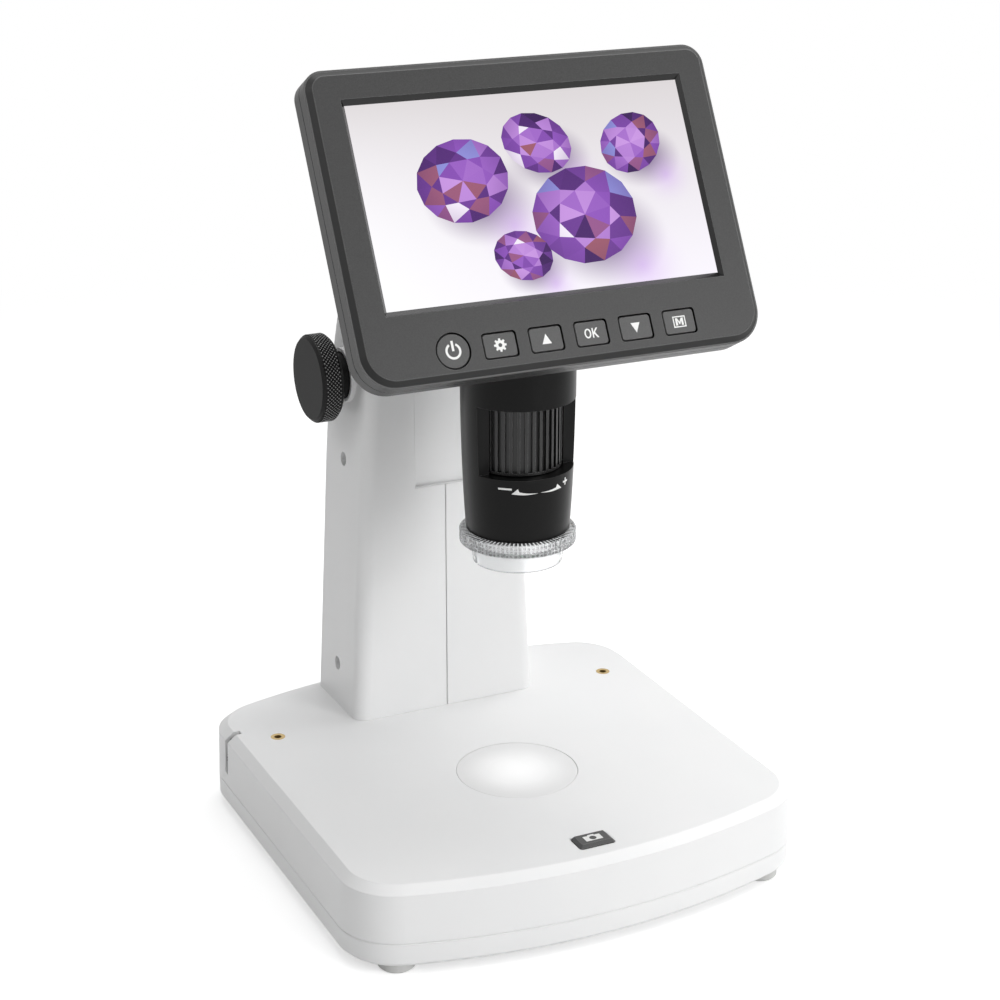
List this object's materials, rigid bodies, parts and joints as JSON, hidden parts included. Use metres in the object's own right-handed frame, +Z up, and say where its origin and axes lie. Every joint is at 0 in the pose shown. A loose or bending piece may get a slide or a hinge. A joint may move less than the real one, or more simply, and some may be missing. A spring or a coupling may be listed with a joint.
{
  "type": "lcd digital microscope",
  "caption": "Desktop digital microscope: tilted colour screen and keys over a focusing barrel, rack-driven head on an upright column, wide base with a lit stage.",
  "frame": {"origin": "on the desk under the centre of the base, at the level of the bottom of the feet", "axes": "+Z up, the screen and the front of the base face -Y, +X to the right of someone facing the screen"},
  "size_m": [0.1596, 0.1674, 0.2654],
  "materials": {
    "white_plastic": "satin moulded ABS",
    "dark_plastic": "fine matt moulded ABS",
    "black_plastic": "satin moulded",
    "key_plastic": "satin, white legends",
    "black_anodised": "black anodised aluminium",
    "clear_plastic": "clear acrylic",
    "lens_glass": "coated glass",
    "diffuser": "opal acrylic",
    "screen": "lit colour panel",
    "brass": "turned",
    "steel": "bright",
    "black_steel": "black oxide",
    "cast_iron": "as cast, painted",
    "aluminium": "bead blasted",
    "acetal": "natural acetal",
    "board": "green solder mask",
    "tin_plate": "tin plated",
    "battery_wrap": "shrink wrap",
    "rubber": "matt, light grey"
  },
  "bodies": {
    "stand": {"base_top_shell": "white_plastic", "base_bottom_cover": "white_plastic", "foot_pads": "rubber", "base_screws": "black_steel", "stage_diffuser": "diffuser", "stage_inserts": "brass", "light_box": "white_plastic", "backlight_board": "board", "snapshot_board": "board", "dimmer_pot": "board", "base_main_board": "board", "power_inlet": "black_plastic", "ballast_bar": "cast_iron", "board_screws": "steel", "column_left_shell": "white_plastic", "column_right_shell": "white_plastic", "column_screws": "black_steel", "column_foot": "cast_iron", "column_mount_screws": "steel", "guide_rods": "steel", "rod_head": "acetal", "shaft_bushes": "brass"},
    "head": {"carriage": "acetal", "rack": "brass", "slide_cover": "white_plastic", "arm": "aluminium", "head_housing": "black_plastic", "barrel_housing": "black_plastic", "sensor_holder": "black_plastic", "sensor_board": "board", "led_ring_board": "board", "monitor_bezel": "dark_plastic", "monitor_rear_cover": "dark_plastic", "lcd_panel": "screen", "lcd_tray": "tin_plate", "key_board": "board", "main_board": "board", "usb_socket": "tin_plate", "card_slot": "tin_plate", "battery": "battery_wrap", "head_screws": "steel", "head_board_screws": "steel"},
    "height_knobs": {"pinion": "brass", "pinion_shaft": "steel", "left_knob": "black_anodised", "right_knob": "black_anodised", "knob_grub_screws": "black_steel"},
    "focus_ring": {"focus_wheel": "black_plastic"},
    "lens": {"lens_cell": "black_plastic", "lens_glass": "lens_glass"},
    "light_cap": {"clear_cap": "clear_plastic"},
    "snapshot_key": {"snapshot_button": "key_plastic"},
    "dimmer": {"dimmer_wheel": "dark_plastic"},
    "power_key": {"power_button": "key_plastic"},
    "settings_key": {"settings_button": "key_plastic"},
    "up_key": {"up_button": "key_plastic"},
    "ok_key": {"ok_button": "key_plastic"},
    "down_key": {"down_button": "key_plastic"},
    "mode_key": {"mode_button": "key_plastic"}
  },
  "joints": [
    {"name": "head_slide", "type": "slide", "parent": "stand", "child": "head", "axis": [0, 0, 1], "range_m": [-0.035, 0.015]},
    {"name": "knob_turn", "type": "hinge", "parent": "stand", "child": "height_knobs", "pos_m": [0, 0.0581, 0.1514], "axis": [1, 0, 0], "range_deg": [-144, 335]},
    {"name": "focus_turn", "type": "hinge", "parent": "head", "child": "focus_ring", "pos_m": [0, -0.0169, 0.15], "axis": [0, 0, 1], "range_deg": [-135.5, 135.5]},
    {"name": "lens_slide", "type": "slide", "parent": "head", "child": "lens", "axis": [0, 0, 1], "range_m": [-0.003, 0.003]},
    {"name": "cap_turn", "type": "hinge", "parent": "head", "child": "light_cap", "pos_m": [0, -0.0169, 0.116], "axis": [0, 0, 1], "range_deg": [-90, 90]},
    {"name": "snapshot_press", "type": "slide", "parent": "stand", "child": "snapshot_key", "axis": [0, 0, -1], "range_m": [0, 0.0008], "stiffness_N_per_m": 400, "springref_m": -0.0006},
    {"name": "dimmer_turn", "type": "hinge", "parent": "stand", "child": "dimmer", "pos_m": [-0.0721, 0.0501, 0.0205], "axis": [0, 1, 0], "range_deg": [-135, 135]},
    {"name": "power_press", "type": "slide", "parent": "head", "child": "power_key", "axis": [0, 0.8813, -0.4726], "range_m": [0, 0.0006], "stiffness_N_per_m": 400, "springref_m": -0.0006},
    {"name": "settings_press", "type": "slide", "parent": "head", "child": "settings_key", "axis": [0, 0.8813, -0.4726], "range_m": [0, 0.0006], "stiffness_N_per_m": 400, "springref_m": -0.0006},
    {"name": "up_press", "type": "slide", "parent": "head", "child": "up_key", "axis": [0, 0.8813, -0.4726], "range_m": [0, 0.0006], "stiffness_N_per_m": 400, "springref_m": -0.0006},
    {"name": "ok_press", "type": "slide", "parent": "head", "child": "ok_key", "axis": [0, 0.8813, -0.4726], "range_m": [0, 0.0006], "stiffness_N_per_m": 400, "springref_m": -0.0006},
    {"name": "down_press", "type": "slide", "parent": "head", "child": "down_key", "axis": [0, 0.8813, -0.4726], "range_m": [0, 0.0006], "stiffness_N_per_m": 400, "springref_m": -0.0006},
    {"name": "mode_press", "type": "slide", "parent": "head", "child": "mode_key", "axis": [0, 0.8813, -0.4726], "range_m": [0, 0.0006], "stiffness_N_per_m": 400, "springref_m": -0.0006}
  ],
  "couplings": [
    {"joint": "knob_turn", "follows": "head_slide", "rad_per_m": -166.67},
    {"joint": "focus_turn", "follows": "lens_slide", "rad_per_m": 785.4}
  ]
}
